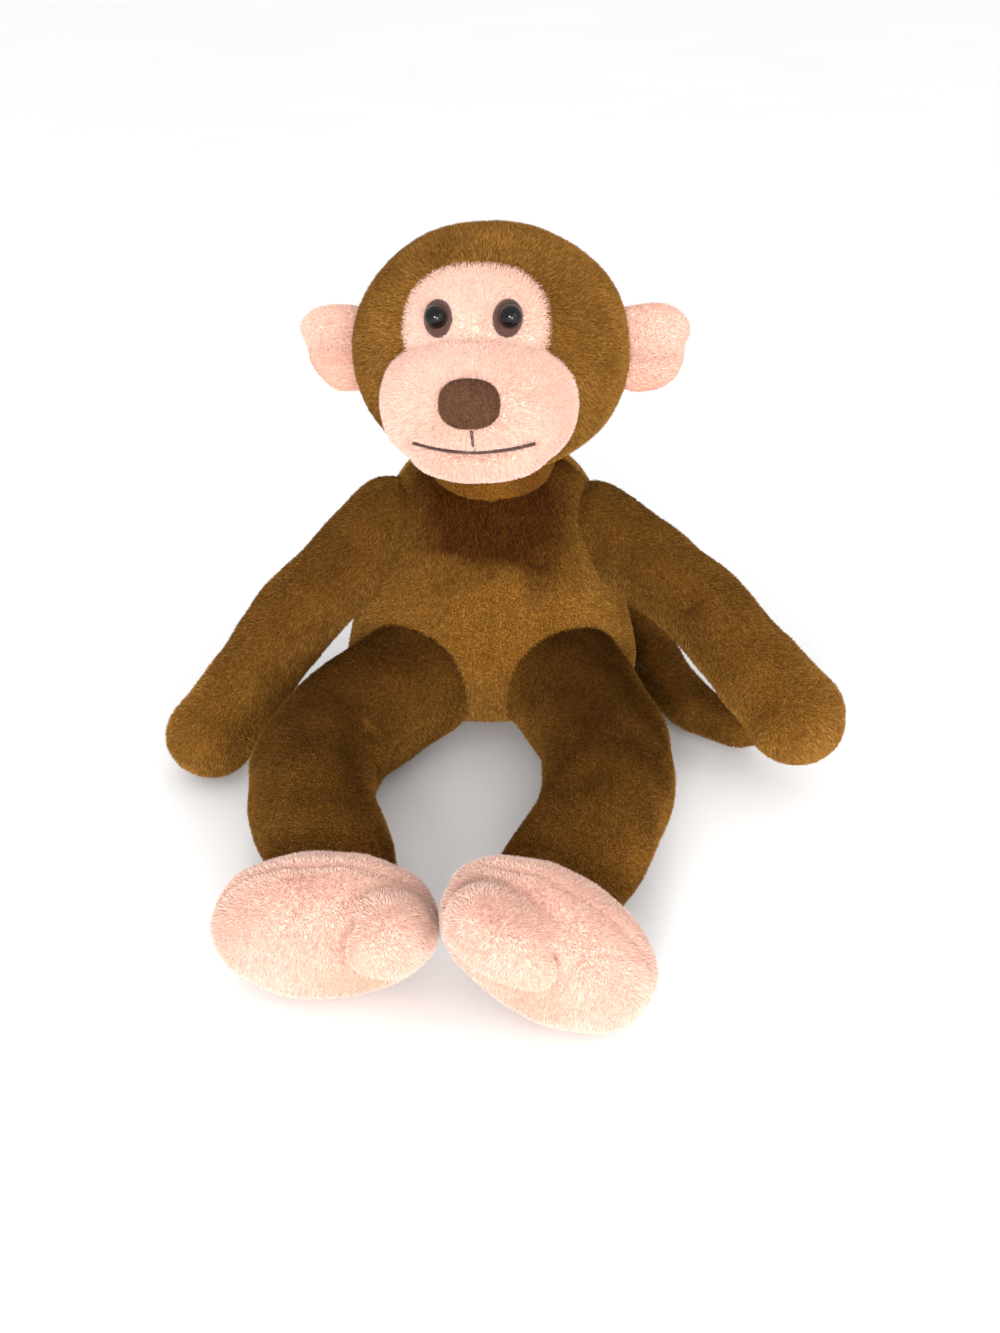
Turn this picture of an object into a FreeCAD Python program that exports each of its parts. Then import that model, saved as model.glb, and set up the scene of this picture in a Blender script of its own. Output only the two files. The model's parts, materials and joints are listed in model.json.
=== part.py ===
"""A stuffed toy monkey sitting with its legs out in front, about 190 mm tall.

The toy is sewn from short-pile plush panels around polyester stuffing, with a bag of plastic pellets in the
seat and loose pellets in the feet.  The eyes and the nose are buttons whose shanks go through the cloth and
are held by a washer inside.  It faces -Y, its own left is +X, and the seat rests on Z = 0 at the origin.
Every soft limb is a body of its own that turns on a ball of stuffing where the real limb is sewn or creased.
All sizes are in millimetres and all angles in degrees.
"""
import FreeCAD
import Part
import math
import os

V = FreeCAD.Vector
X_AXIS, Y_AXIS, Z_AXIS = V(1, 0, 0), V(0, 1, 0), V(0, 0, 1)
ORIGIN = V(0, 0, 0)

# ---------------------------------------------------------------- cloth, stuffing and fits
PLUSH = 1.6           # thickness of a plush panel with its pile
EASE = 0.2            # gap between a panel and the stuffing or the panel under it
TURN_GAP = 0.5        # gap around a ball that a neighbour turns on
SWEEP_GAP = 1.3       # gap around a limb that sweeps past its neighbour
THREAD_R = 0.6        # embroidery thread
LAY = 0.08            # gap between a thread or a button and the cloth that it lies on

# ---------------------------------------------------------------- torso
RECLINE = 12.0        # how far the torso leans back
TORSO_Y = 2.0         # middle of the hips
TORSO_TOP = 95.0      # level at which the torso stops below the head
HALF_APART = 14.0     # each half of the torso is a round cushion this far from the centre seam
HIPS_Z, HIPS_R = 23.0, 43.0
CHEST_Z, CHEST_R = 76.0, 28.0

# ---------------------------------------------------------------- neck and head
NECK = V(0, 15, TORSO_TOP + 3)
NECK_R = 25.0
HEAD_R = 48.0
HEAD = V(0, 12, TORSO_TOP + 1 + HEAD_R)
HEAD_YAW, HEAD_PITCH, HEAD_ROLL = -7.0, -13.0, -2.4
SIDE_SEAM_Y = 7.0     # the head's two panels meet here, behind its centre

FACE_R, FACE_Z = 25.0, 10.5
FACE_CLOTH = 1.2
MUZZLE = V(0, 12.5 - HEAD_R, -14)
MUZZLE_R = 25.5
MUZZLE_SPREAD = 8.5   # half the length of the straight middle of the muzzle
MOUTH_Z = -28.5
MOUTH_HALF = 20.0     # half the width of the embroidered smile

EYE_X, EYE_Z = 11.8, 15.2
EYE_RING_RX, EYE_RING_RZ, EYE_FELT = 4.8, 5.7, 0.7
EYE_R = 4.0
EYE_SHANK_R, EYE_SHANK = 1.2, 13.0
EYE_WASHER_R, WASHER_T = 5.0, 1.2
NOSE_Z = -11.3
NOSE_R, NOSE_SPREAD, NOSE_SUNK = 8.4, 2.4, 3.2
NOSE_SHANK_R, NOSE_SHANK = 1.8, 14.0
NOSE_WASHER_R = 6.5
BORE_GAP = 0.12       # radial gap around a shank in the cloth and in its washer

EAR_RX, EAR_RY, EAR_RZ = 16.5, 4.2, 17.5
EAR_Z = 3.0
EAR_SUNK = 8.0        # how far the ear's own middle lies outside the head
EAR_BEND = 1.2        # the ear folds about a line this far outside the head
EAR_STEPS = (-12, 0, 15, 30)

# ---------------------------------------------------------------- arms: shoulder, elbow and hand centres
ARM_R, ELBOW_R = 16.5, 16.0
HAND_R = {"left": 17.5, "right": 16.0}
SHOULDER_X = HALF_APART + CHEST_R + 1
FLOOR_GAP = 0.2       # the parts that rest on the floor are drawn this far above it
ARMS = {
    "left": {"shoulder": V(SHOULDER_X + 1, 10, 79), "elbow": V(80, -24, 56), "hand": V(112, -62, 31)},
    "right": {"shoulder": V(1 - SHOULDER_X, 10, 79), "elbow": V(-76, -20, 48),
              "hand": V(-106, -52, HAND_R["right"] + FLOOR_GAP)},
}
ELBOW_MOUTH = 58.0    # half angle of the cone in which the forearm starts, which leaves room for the bend

# ---------------------------------------------------------------- legs: hip, knee and ankle centres
HIP_R, KNEE_R, SHIN_R, ANKLE_R = 23.0, 22.0, 21.6, 19.5
HIP_X = HIP_R + 5
HIP_LEVEL, KNEE_LEVEL, ANKLE_LEVEL = HIP_R + 1, KNEE_R + 0.5, ANKLE_R + 1.5
LEGS = {
    "left": {"hip": V(HIP_X, -32, HIP_LEVEL), "knee": V(46, -84, KNEE_LEVEL), "ankle": V(20, -145, ANKLE_LEVEL)},
    "right": {"hip": V(-HIP_X, -32, HIP_LEVEL), "knee": V(-62, -74, KNEE_LEVEL),
              "ankle": V(-51, -133, ANKLE_LEVEL)},
}
KNEE_MOUTH = 40.0

# ---------------------------------------------------------------- feet
FOOT_RX, FOOT_RY, FOOT_RZ = 34.0, 19.0, 23.5
FEET_MEET_X = -16.5   # the two feet reach this line from either side
FOOT_TILT = 22.0      # the left foot leans over, the right one stands upright


def foot_level(roll):
    """Height of a foot's centre that sets its lowest point just above the floor."""
    turn = math.radians(roll)
    return math.hypot(FOOT_RZ * math.cos(turn), FOOT_RX * math.sin(turn)) + 0.5


FEET = {
    "left": {"centre": V(FEET_MEET_X + FOOT_RX, -177, foot_level(FOOT_TILT)), "yaw": -20.0, "roll": FOOT_TILT},
    "right": {"centre": V(FEET_MEET_X - FOOT_RX, -166, foot_level(0)), "yaw": 0.0, "roll": 0.0},
}
TOE_R, TOE_TIP_R = 10.0, 8.5

# ---------------------------------------------------------------- tail, which lies round the left side of the hips
TAIL_R = 11.5
# angle round the left half of the torso, share of TAIL_R, gap from the widest hips, lift above the floor
TAIL_TURNS = (
    (90.0, 1.00, -8.1, 1.5), (78.9, 0.98, 0.3, 1.2), (53.3, 0.97, 0.6, 0.8), (24.2, 0.96, 0.6, 0.5),
    (-3.1, 0.94, 1.3, 0.5), (-22.2, 0.87, 18.3, 0.5), (-26.0, 0.70, 40.2, 1.0), (-26.3, 0.48, 48.5, 3.0),
    (-26.3, 0.22, 54.9, 5.5),
)


def tail_point(angle, share, gap, lift):
    """One point of the tail's middle line with the tail's radius there."""
    radius, turn = TAIL_R * share, math.radians(angle)
    reach = HIPS_R + radius + gap
    return V(HALF_APART + reach * math.cos(turn), TORSO_Y + reach * math.sin(turn), radius + lift), radius


TAIL = [tail_point(*turn) for turn in TAIL_TURNS]

# ---------------------------------------------------------------- pellets
PELLET_BAG = V(0, 10, 22)
PELLET_BAG_R = 17.0


# ================================================================ shapes that repeat
def ellipsoid(rx, ry, rz, centre=ORIGIN, facing=0):
    """A whole ellipsoid, or with facing -1 or 1 only the half that lies towards -Y or +Y."""
    scale = FreeCAD.Matrix()
    scale.scale(rx, ry, rz)
    ball = Part.makeSphere(1.0, ORIGIN, Z_AXIS, -90, 90, 180) if facing else Part.makeSphere(1.0)
    if facing < 0:
        ball.rotate(ORIGIN, Z_AXIS, 180)
    shape = ball.transformGeometry(scale)
    shape.translate(centre)
    return shape


def aimed(shape, start, direction):
    """A shape made along +Z from the origin, moved to start and turned along a direction."""
    shape.Placement = FreeCAD.Placement(start, FreeCAD.Rotation(Z_AXIS, direction))
    return shape


def capsule(start, start_r, end, end_r):
    """A tapered round-ended limb: two balls and the cone that is tangent to both, as one turned profile."""
    length = (end - start).Length
    slope = math.asin((start_r - end_r) / length)
    c, s = math.cos(slope), math.sin(slope)
    low, high = (slope - math.pi / 2) / 2, (slope + math.pi / 2) / 2
    first = Part.Arc(V(0, 0, -start_r), V(start_r * math.cos(low), 0, start_r * math.sin(low)),
                     V(start_r * c, 0, start_r * s))
    last = Part.Arc(V(end_r * c, 0, length + end_r * s),
                    V(end_r * math.cos(high), 0, length + end_r * math.sin(high)),
                    V(0, 0, length + end_r))
    side = Part.LineSegment(first.EndPoint, last.StartPoint)
    axis = Part.LineSegment(last.EndPoint, first.StartPoint)
    outline = Part.Wire([edge.toShape() for edge in (first, side, last, axis)])
    turned = Part.Face(outline).revolve(ORIGIN, Z_AXIS, 360)
    return aimed(turned, start, end - start)


def cuff(ball, ball_r, end, start_r, end_r, mouth, inset=0.0):
    """The next length of a limb, which starts as a cup on a ball inside a cone of the given half angle.

    The cone is the room for bending.  An inset draws the whole outline in by some amount.
    """
    length = (end - ball).Length
    angle = math.radians(mouth)
    c, s = math.cos(angle), math.sin(angle)
    cup_r, tube_r, tip_r = ball_r + TURN_GAP + inset, start_r - inset, end_r - inset
    apex = inset / s
    reach = -apex * c + math.sqrt(cup_r ** 2 - (apex * s) ** 2)
    lip = V(reach * s, 0, apex + reach * c)
    shoulder = V(tube_r, 0, apex + tube_r / math.tan(angle))
    middle = math.atan2(lip.x, lip.z) / 2
    cup = Part.Arc(V(0, 0, cup_r), V(cup_r * math.sin(middle), 0, cup_r * math.cos(middle)), lip)
    root_half = math.sqrt(0.5)
    tip = Part.Arc(V(tip_r, 0, length), V(tip_r * root_half, 0, length + tip_r * root_half),
                   V(0, 0, length + tip_r))
    lines = [Part.LineSegment(lip, shoulder), Part.LineSegment(shoulder, V(tip_r, 0, length))]
    axis = Part.LineSegment(V(0, 0, length + tip_r), V(0, 0, cup_r))
    outline = Part.Wire([edge.toShape() for edge in [cup] + lines + [tip, axis]])
    return aimed(Part.Face(outline).revolve(ORIGIN, Z_AXIS, 360), ball, end - ball)


def between(points, steps=4):
    """The line of points with extra points between them on a smooth curve, each with its radius."""
    line = []
    for i in range(len(points) - 1):
        p0, r0 = points[max(i - 1, 0)]
        (p1, r1), (p2, r2) = points[i], points[i + 1]
        p3 = points[min(i + 2, len(points) - 1)][0]
        for step in range(steps):
            t = step / steps
            curve = (p1 * 2 + (p2 - p0) * t + (p0 * 2 - p1 * 5 + p2 * 4 - p3) * t ** 2
                     + (p1 * 3 - p0 - p2 * 3 + p3) * t ** 3) * 0.5
            line.append((curve, r1 + (r2 - r1) * t))
    return line + [points[-1]]


def tube(points, grow=0.0):
    """A closed tube through circles that stand square to the line of points, with a rounded start."""
    first, start_r = points[0][0], points[0][1] + grow
    back = (first - points[1][0]).normalize()
    rounded = [(first + back * (start_r * math.sin(a)), start_r * math.cos(a)) for a in (1.4, 1.1, 0.75, 0.4)]
    line = rounded + [(point, radius + grow) for point, radius in points]
    rings = []
    for i, (point, radius) in enumerate(line):
        along = line[min(i + 1, len(line) - 1)][0] - line[max(i - 1, 0)][0]
        circle = Part.makeCircle(radius)
        circle.Placement = FreeCAD.Placement(point, FreeCAD.Rotation(Z_AXIS, along.cross(Z_AXIS), along, "ZXY"))
        rings.append(Part.Wire(circle))
    return Part.makeLoft(rings, True, True)


def hollow(outside, inside):
    """A closed skin between an outer and an inner form that nowhere touch."""
    return Part.Solid(Part.makeCompound([outside.Shells[0], inside.Shells[0].reversed()]))


def half(shape, axis, at, keep_above):
    """The part of a shape on one side of a plane square to an axis."""
    size = 800.0
    shift = axis * (at if keep_above else at - size)
    block = Part.makeBox(size, size, size)
    block.translate(V(*((shift[i] if abs(axis[i]) else -size / 2) for i in range(3))))
    return shape.common(block)


def solids(shape):
    """One shape of the solids in a boolean result, largest first, with crumbs left out."""
    found = sorted(shape.Solids, key=lambda s: -s.Volume)
    kept = [s for s in found if s.Volume > 0.02 * found[0].Volume]
    return kept[0] if len(kept) == 1 else Part.makeCompound(kept)


NODES = {}


def node(name, shape):
    """Writes one sub-part."""
    shape = solids(shape)
    if not shape.isValid():
        shape.fix(0.001, 0.001, 0.01)
    NODES[name] = shape
    shape.exportStep("parts/" + name + ".step")
    box = shape.BoundBox
    print(f"{name:26s} valid {shape.isValid()}  solids {len(shape.Solids)}  {shape.Volume / 1000:8.2f} cm3"
          f"  x {box.XMin:.1f}..{box.XMax:.1f}  y {box.YMin:.1f}..{box.YMax:.1f}  z {box.ZMin:.1f}..{box.ZMax:.1f}")
    return shape


# ================================================================ torso
def torso_half(sign, inset=0.0):
    """One round half of the body, drawn in all round, leaning back, with a flat seat and a flat top."""
    lean = (CHEST_Z - HIPS_Z) * math.tan(math.radians(RECLINE))
    form = capsule(V(sign * HALF_APART, TORSO_Y, HIPS_Z), HIPS_R - inset,
                   V(sign * HALF_APART, TORSO_Y + lean, CHEST_Z), CHEST_R - inset)
    return half(half(form, Z_AXIS, inset, True), Z_AXIS, TORSO_TOP - inset, False)


def shoulder_room(side):
    """The dish that the upper arm needs as it swings round the shoulder: a ball and the cone that follows it."""
    start, end = ARMS[side]["shoulder"], ARMS[side]["elbow"]
    along = end - start
    across = abs(along.x) / along.Length
    around = math.sqrt(1 - across ** 2)
    radius, reach = ARM_R + SWEEP_GAP, 70.0
    edge = V(radius * across, 0, -radius * around)
    far = edge + V(around, 0, across) * reach
    turn = math.atan2(edge.x, -edge.z) / 2
    arc = Part.Arc(V(0, 0, -radius), V(radius * math.sin(turn), 0, -radius * math.cos(turn)), edge)
    lines = [Part.LineSegment(edge, far), Part.LineSegment(far, V(0, 0, far.z)),
             Part.LineSegment(V(0, 0, far.z), V(0, 0, -radius))]
    outline = Part.Wire([e.toShape() for e in [arc] + lines])
    dish = Part.Face(outline).revolve(ORIGIN, Z_AXIS, 360)
    return aimed(dish, start, V(math.copysign(1, along.x), 0, 0))


def torso():
    bag = Part.makeSphere(PELLET_BAG_R, PELLET_BAG)
    (root, root_r), (onward, onward_r) = TAIL[:2]
    for side, sign in (("left", 1), ("right", -1)):
        leg = LEGS[side]
        room = [Part.makeSphere(NECK_R + TURN_GAP, NECK), shoulder_room(side),
                capsule(leg["hip"], HIP_R + SWEEP_GAP, leg["knee"], KNEE_R + SWEEP_GAP)]
        if sign > 0:
            room.append(capsule(root, root_r + SWEEP_GAP, onward, onward_r + SWEEP_GAP))
        outside = half(torso_half(sign), X_AXIS, 0, sign > 0)
        cloth = outside.cut(torso_half(sign, PLUSH))
        stuffing = half(torso_half(sign, PLUSH + EASE), X_AXIS, sign * EASE / 2, sign > 0)
        stuffing = stuffing.cut(Part.makeSphere(PELLET_BAG_R + EASE, PELLET_BAG))
        for clearance in room:
            cloth, stuffing = cloth.cut(clearance), stuffing.cut(clearance)
        node(f"torso_front_{side}_panel", half(cloth, Y_AXIS, TORSO_Y, False))
        node(f"torso_back_{side}_panel", half(cloth, Y_AXIS, TORSO_Y, True))
        node(f"torso_stuffing_{side}", stuffing)
    node("torso_pellet_bag", bag)
    node("back_closing_stitches", closing_stitches())


def closing_stitches(count=6, low=42.0, high=74.0, span=5.0):
    """Short stitches across the centre-back seam, where the toy was closed after filling."""
    stitches = []
    for i in range(count):
        z = low + (high - low) * i / (count - 1)
        inside = Part.makeLine(V(span / 2, TORSO_Y, z), V(span / 2, 120, z)).common(torso_half(1))
        y = inside.BoundBox.YMax + THREAD_R + LAY + 0.3
        stitches.append(capsule(V(-span / 2, y, z), THREAD_R, V(span / 2, y, z), THREAD_R * 0.98))
    return Part.makeCompound(stitches)


# ================================================================ neck
def neck():
    node("neck_cloth", hollow(Part.makeSphere(NECK_R, NECK), Part.makeSphere(NECK_R - PLUSH, NECK)))
    node("neck_stuffing", Part.makeSphere(NECK_R - PLUSH - EASE, NECK))


# ================================================================ head, made about its own centre and then set
def set_on_neck(shape):
    shape = shape.copy()
    shape.rotate(ORIGIN, Y_AXIS, HEAD_ROLL)
    shape.rotate(ORIGIN, X_AXIS, HEAD_PITCH)
    shape.rotate(ORIGIN, Z_AXIS, HEAD_YAW)
    shape.translate(HEAD)
    return shape


def head_form(grow=0.0):
    return Part.makeSphere(HEAD_R + grow)


def muzzle_form(grow=0.0):
    ends = V(MUZZLE_SPREAD, 0, 0)
    return capsule(MUZZLE - ends, MUZZLE_R + grow, MUZZLE + ends, MUZZLE_R + grow)


def oval_prism(rx, rz, z, x=0.0):
    """An oval cut-out that runs forwards from the middle of the head."""
    if rx == rz:
        return Part.makeCylinder(rx, 90.0, V(x, 0, z), -Y_AXIS)
    oval = Part.Ellipse(V(0, 0, 0), max(rx, rz), min(rx, rz)).toShape()
    if rz > rx:
        oval.rotate(ORIGIN, Z_AXIS, 90)
    oval.rotate(ORIGIN, X_AXIS, 90)
    oval.translate(V(x, 0, z))
    return Part.Face(Part.Wire(oval)).extrude(V(0, -90, 0))


def on_head(x, z):
    """The front point of the head at x and z, and its outward normal."""
    point = V(x, -math.sqrt(HEAD_R ** 2 - x ** 2 - z ** 2), z)
    return point, V(point.x, point.y, point.z).normalize()


def on_muzzle(x, z):
    """The front point of the muzzle's straight middle at x and z, and its outward normal."""
    point = V(x, MUZZLE.y - math.sqrt(MUZZLE_R ** 2 - (z - MUZZLE.z) ** 2), z)
    return point, V(0, point.y - MUZZLE.y, z - MUZZLE.z).normalize()


def rod(point, normal, radius, low, high):
    """A round rod along a surface's normal, from a low to a high level above the surface."""
    return Part.makeCylinder(radius, high - low, point + normal * low, normal)


def head():
    ball = Part.makeSphere(NECK_R + TURN_GAP, NECK)
    shell = hollow(head_form(), head_form(-PLUSH))
    stuffing = head_form(-PLUSH - EASE)
    face = oval_prism(FACE_R, FACE_R, FACE_Z).common(head_form(EASE + FACE_CLOTH))
    face = face.cut(head_form(EASE)).cut(muzzle_form(EASE))
    muzzle = hollow(muzzle_form(), muzzle_form(-PLUSH)).cut(head_form(EASE))
    wad = muzzle_form(-PLUSH - EASE).cut(head_form(EASE))

    eye_base = EASE + FACE_CLOTH + LAY
    bores = []
    for side, sign in (("left", 1), ("right", -1)):
        point, normal = on_head(sign * EYE_X, EYE_Z)
        ring = oval_prism(EYE_RING_RX, EYE_RING_RZ, EYE_Z, sign * EYE_X)
        ring = ring.common(head_form(eye_base + EYE_FELT)).cut(head_form(eye_base))
        foot = eye_base + EYE_FELT + LAY + 0.2
        dome = Part.makeSphere(EYE_R, point + normal * (foot + 0.9))
        dome = dome.common(rod(point, normal, EYE_R + 1, foot, foot + 2 * EYE_R))
        eye = dome.fuse(rod(point, normal, EYE_SHANK_R, foot - EYE_SHANK, foot + 0.5))
        bore = rod(point, normal, EYE_SHANK_R + BORE_GAP, -EYE_SHANK - 1, foot + 1)
        seat = -PLUSH - EASE - 0.3
        washer = rod(point, normal, EYE_WASHER_R, seat - WASHER_T, seat).cut(bore)
        pocket = rod(point, normal, EYE_WASHER_R + EASE, seat - WASHER_T - EASE, 2)
        bores.append(bore)
        stuffing = stuffing.cut(pocket)
        node(f"eye_ring_{side}", set_on_neck(ring.cut(bore)))
        node(f"eye_{side}", set_on_neck(eye))
        node(f"eye_washer_{side}", set_on_neck(washer))

    tip, ahead = on_muzzle(0, NOSE_Z)
    sunk, ends = tip - ahead * NOSE_SUNK, V(NOSE_SPREAD, 0, 0)
    nose = capsule(sunk - ends, NOSE_R, sunk + ends, NOSE_R).cut(muzzle_form(LAY))
    nose = nose.fuse(rod(tip, ahead, NOSE_SHANK_R, -NOSE_SHANK, (NOSE_R - NOSE_SUNK) / 2))
    nose_bore = rod(tip, ahead, NOSE_SHANK_R + BORE_GAP, -NOSE_SHANK - 1, 1)
    nose_seat = -PLUSH - EASE - 0.7
    nose_washer = rod(tip, ahead, NOSE_WASHER_R, nose_seat - WASHER_T, nose_seat).cut(nose_bore)
    wad = wad.cut(rod(tip, ahead, NOSE_WASHER_R + EASE, nose_seat - WASHER_T - EASE, 2)).cut(nose_bore)

    muzzle = muzzle.cut(nose_bore)
    stuffing = stuffing.cut(bores + [nose_bore])
    cloth = shell.cut(bores)
    node("head_front_panel", set_on_neck(half(cloth, Y_AXIS, SIDE_SEAM_Y, False)).cut(ball))
    node("head_back_panel", set_on_neck(half(cloth, Y_AXIS, SIDE_SEAM_Y, True)).cut(ball))
    node("head_stuffing", set_on_neck(stuffing).cut(ball))
    node("face_panel", set_on_neck(face.cut(bores)))
    node("muzzle_panel", set_on_neck(half(muzzle, Z_AXIS, MOUTH_Z, True)))
    node("chin_panel", set_on_neck(half(muzzle, Z_AXIS, MOUTH_Z, False)))
    node("muzzle_stuffing", set_on_neck(wad))
    node("nose", set_on_neck(nose))
    node("nose_washer", set_on_neck(nose_washer))
    node("mouth_thread", set_on_neck(mouth_thread()))
    for side, sign in (("left", 1), ("right", -1)):
        ear(side, sign)


def mouth_thread():
    """The smile, which lies along the seam between muzzle and chin, and the short stitch under the nose."""
    out = THREAD_R + LAY + 0.25
    ring = MUZZLE_R * math.sqrt(1 - ((MOUTH_Z - MUZZLE.z) / MUZZLE_R) ** 2) + out
    front = MUZZLE.y - ring
    turn = math.asin((MOUTH_HALF - MUZZLE_SPREAD) / ring)
    middle = Part.makeLine(V(-MUZZLE_SPREAD, front, MOUTH_Z), V(MUZZLE_SPREAD, front, MOUTH_Z))
    corner = Part.Arc(*[V(MUZZLE_SPREAD + ring * math.sin(a), MUZZLE.y - ring * math.cos(a), MOUTH_Z)
                        for a in (0, turn / 2, turn)]).toShape()
    other = corner.mirror(ORIGIN, X_AXIS)
    start = V(-MUZZLE_SPREAD, front, MOUTH_Z)
    round_wire = Part.Wire(Part.makeCircle(THREAD_R, start, X_AXIS))
    right = Part.Wire([other]).makePipe(Part.Face(round_wire))
    straight = Part.Wire([middle]).makePipe(Part.Face(round_wire))
    left = right.mirror(ORIGIN, X_AXIS)
    ends = []
    for z in (NOSE_Z - NOSE_R - 1.6, MOUTH_Z + 2.2):
        point, normal = on_muzzle(1.0, z)
        ends.append(point + normal * (THREAD_R + LAY + 0.25))
    stitch = capsule(ends[0], THREAD_R, ends[1], THREAD_R * 0.98)
    return Part.makeCompound([left, straight, right, stitch])


def ear(side, sign):
    """Two panels back to back, dished round the head so that the ear can fold along the side seam."""
    reach = V(sign * (HEAD_R + EAR_SUNK), SIDE_SEAM_Y, EAR_Z)
    bend = V(sign * (HEAD_R + EAR_BEND), SIDE_SEAM_Y, EAR_Z)
    room = [head_form(TURN_GAP).rotated(bend, Z_AXIS, sign * angle) for angle in EAR_STEPS]
    for panel, facing in (("front", -1), ("back", 1)):
        leaf = ellipsoid(EAR_RX, EAR_RY, EAR_RZ, reach, facing)
        inside = ellipsoid(EAR_RX - PLUSH, EAR_RY - PLUSH, EAR_RZ - PLUSH, reach, facing)
        node(f"ear_{panel}_{side}", set_on_neck(leaf.cut(inside).cut(room)))


# ================================================================ limbs of two lengths
def limb(names, points, radii, mouth):
    """Two lengths of a limb.  The second is a cup on the round end of the first.  Each is cloth round stuffing."""
    first, second = names
    start, bend, end = points
    start_r, bend_r, next_r, end_r = radii
    fill = PLUSH + EASE
    node(f"{first}_cloth", hollow(capsule(start, start_r, bend, bend_r),
                                  capsule(start, start_r - PLUSH, bend, bend_r - PLUSH)))
    node(f"{first}_stuffing", capsule(start, start_r - fill, bend, bend_r - fill))
    node(f"{second}_cloth", hollow(cuff(bend, bend_r, end, next_r, end_r, mouth),
                                   cuff(bend, bend_r, end, next_r, end_r, mouth, PLUSH)))
    node(f"{second}_stuffing", cuff(bend, bend_r, end, next_r, end_r, mouth, fill))


def arm(side):
    arm_at = ARMS[side]
    limb((f"upper_arm_{side}", f"forearm_{side}"), (arm_at["shoulder"], arm_at["elbow"], arm_at["hand"]),
         (ARM_R, ELBOW_R, ELBOW_R, HAND_R[side]), ELBOW_MOUTH)


def leg(side):
    leg_at = LEGS[side]
    limb((f"thigh_{side}", f"shin_{side}"), (leg_at["hip"], leg_at["knee"], leg_at["ankle"]),
         (HIP_R, KNEE_R, SHIN_R, ANKLE_R), KNEE_MOUTH)


# ================================================================ feet, made about their own centre and then set
def set_foot(side, shape):
    foot_at = FEET[side]
    shape = shape.copy()
    shape.rotate(ORIGIN, Y_AXIS, foot_at["roll"])
    shape.rotate(ORIGIN, Z_AXIS, foot_at["yaw"])
    shape.translate(foot_at["centre"])
    return shape


def foot(side, inner):
    """A sole panel in front, an upper panel behind, pellets inside and a big toe across the sole.

    inner is the sign of X towards the other foot, where the big toe grows from.
    """
    ankle = Part.makeSphere(ANKLE_R + TURN_GAP, LEGS[side]["ankle"])
    fill = PLUSH + EASE
    sole, upper = [ellipsoid(FOOT_RX, FOOT_RY, FOOT_RZ, ORIGIN, facing).cut(
        ellipsoid(FOOT_RX - PLUSH, FOOT_RY - PLUSH, FOOT_RZ - PLUSH, ORIGIN, facing)) for facing in (-1, 1)]
    node(f"foot_{side}_sole_panel", set_foot(side, sole))
    node(f"foot_{side}_upper_panel", set_foot(side, upper).cut(ankle))
    pellets = set_foot(side, ellipsoid(FOOT_RX - fill, FOOT_RY - fill, FOOT_RZ - fill))
    node(f"foot_{side}_pellets", pellets.cut(Part.makeSphere(ANKLE_R + TURN_GAP + fill, LEGS[side]["ankle"])))
    toe = capsule(V(inner * 20, -FOOT_RY + 7, 7), TOE_R, V(inner * 1, -FOOT_RY - 1, 4), TOE_TIP_R)
    keep_off = ellipsoid(FOOT_RX + LAY, FOOT_RY + LAY, FOOT_RZ + LAY)
    node(f"big_toe_{side}", set_foot(side, toe.cut(keep_off)))


# ================================================================ tail
def tail():
    line = between(TAIL)
    inner = line[:-6]
    node("tail_cloth", hollow(tube(line), tube(inner, -PLUSH)))
    node("tail_stuffing", tube(inner, -PLUSH - EASE))


def main():
    os.makedirs("parts", exist_ok=True)
    torso()
    neck()
    head()
    for side in ("left", "right"):
        arm(side)
        leg(side)
    foot("left", -1)
    foot("right", 1)
    tail()
    print(len(NODES), "nodes")


main()
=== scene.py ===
# %% [markdown]
# # A plush monkey
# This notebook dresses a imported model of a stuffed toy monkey.  The toy is a set of cloth tubes and cushions filled
# with fibre, sewn from short-pile plush.  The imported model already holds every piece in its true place, so this file
# only gives each piece its sewn shape, its pile and its finish.

# %% Load the frame
import bpy
import bmesh
import json
import math
import numpy as np
from mathutils import Vector, Matrix, Euler, noise


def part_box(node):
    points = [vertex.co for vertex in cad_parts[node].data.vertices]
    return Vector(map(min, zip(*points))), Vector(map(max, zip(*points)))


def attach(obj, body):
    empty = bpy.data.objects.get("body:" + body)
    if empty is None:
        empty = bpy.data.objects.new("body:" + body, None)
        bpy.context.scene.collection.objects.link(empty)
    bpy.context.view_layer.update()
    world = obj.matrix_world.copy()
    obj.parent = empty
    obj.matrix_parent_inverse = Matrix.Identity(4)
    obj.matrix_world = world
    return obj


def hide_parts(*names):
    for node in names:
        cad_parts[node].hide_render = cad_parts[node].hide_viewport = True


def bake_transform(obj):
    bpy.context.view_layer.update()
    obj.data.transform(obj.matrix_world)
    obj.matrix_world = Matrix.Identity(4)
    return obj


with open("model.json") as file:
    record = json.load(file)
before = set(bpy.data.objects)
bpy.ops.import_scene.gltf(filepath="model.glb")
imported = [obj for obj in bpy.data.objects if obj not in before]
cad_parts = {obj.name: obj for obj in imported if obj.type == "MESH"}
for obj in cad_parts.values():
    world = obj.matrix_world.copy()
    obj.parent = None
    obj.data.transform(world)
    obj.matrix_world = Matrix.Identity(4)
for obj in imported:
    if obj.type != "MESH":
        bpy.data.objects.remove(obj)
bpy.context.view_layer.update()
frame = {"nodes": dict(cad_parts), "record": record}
scene = bpy.context.scene

# %% [markdown]
# ## Where things are
# Every joint of the toy is a point where cloth bends, and those points are the best landmarks for the skins.  Sizes
# are easier to think about in millimetres, so the file works in millimetres and turns them into metres at the end.

# %% Landmarks in millimetres
MM = 0.001


def mm(point):
    """A point in metres as a numpy point in millimetres."""
    return np.array(point, float) * 1000


joint_at = {j["name"]: mm(j["pos_m"]) for j in frame["record"]["behaviour"]["joints"]}


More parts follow.
